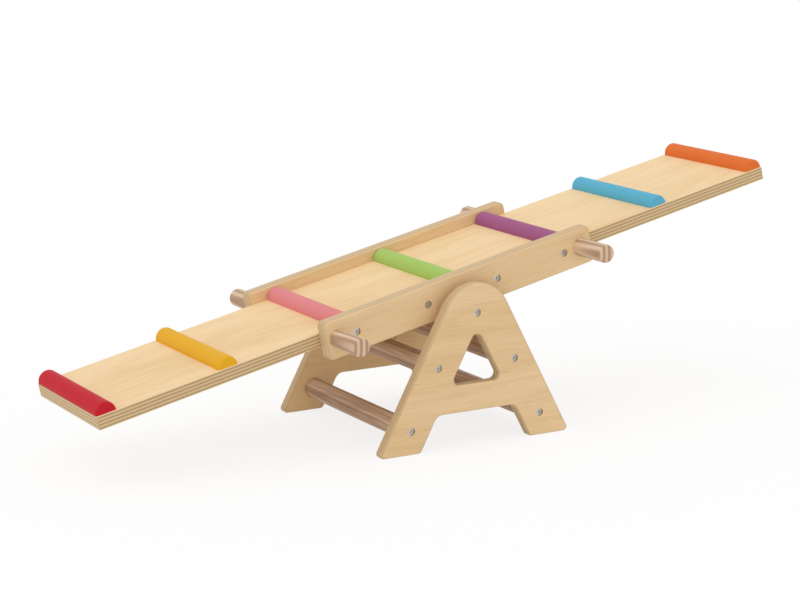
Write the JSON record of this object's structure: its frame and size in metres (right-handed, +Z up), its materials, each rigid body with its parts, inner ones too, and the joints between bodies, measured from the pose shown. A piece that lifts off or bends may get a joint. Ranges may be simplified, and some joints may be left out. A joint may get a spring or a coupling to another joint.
{
  "type": "kids rocker",
  "caption": "Wooden seesaw for small children: a plywood board with coloured half-round slats, side rails and hand grips rocks on the top rung of an A-shaped trestle.",
  "frame": {"origin": "on the floor under the rocking axis, midway between the side panels", "axes": "+X along the board to its orange, raised end; +Y from the front panel to the back panel; +Z up"},
  "size_m": [1.176, 0.404, 0.3861],
  "materials": {
    "birch_plywood": "clear matt lacquer",
    "dowel_wood": "clear matt lacquer",
    "zinc_steel": "zinc plated",
    "red_paint": "satin paint",
    "yellow_paint": "satin paint",
    "pink_paint": "satin paint",
    "green_paint": "satin paint",
    "purple_paint": "satin paint",
    "blue_paint": "satin paint",
    "orange_paint": "satin paint"
  },
  "bodies": {
    "trestle": {"front_side_panel": "birch_plywood", "back_side_panel": "birch_plywood", "top_rung": "dowel_wood", "left_middle_rung": "dowel_wood", "right_middle_rung": "dowel_wood", "left_lower_rung": "dowel_wood", "right_lower_rung": "dowel_wood", "rung_bolts": "zinc_steel", "rung_inserts": "zinc_steel"},
    "rocking_board": {"board": "birch_plywood", "slat_red": "red_paint", "slat_yellow": "yellow_paint", "slat_pink": "pink_paint", "slat_green": "green_paint", "slat_purple": "purple_paint", "slat_blue": "blue_paint", "slat_orange": "orange_paint", "front_rail": "birch_plywood", "back_rail": "birch_plywood", "front_left_grip": "dowel_wood", "front_right_grip": "dowel_wood", "back_left_grip": "dowel_wood", "back_right_grip": "dowel_wood", "rail_bolts": "zinc_steel", "rail_inserts": "zinc_steel", "grip_screws": "zinc_steel", "slat_screws": "zinc_steel"}
  },
  "joints": [
    {"name": "board_rock", "type": "hinge", "parent": "trestle", "child": "rocking_board", "pos_m": [0, 0, 0.205], "axis": [0, 1, 0], "range_deg": [-9.04, 34.16]}
  ]
}
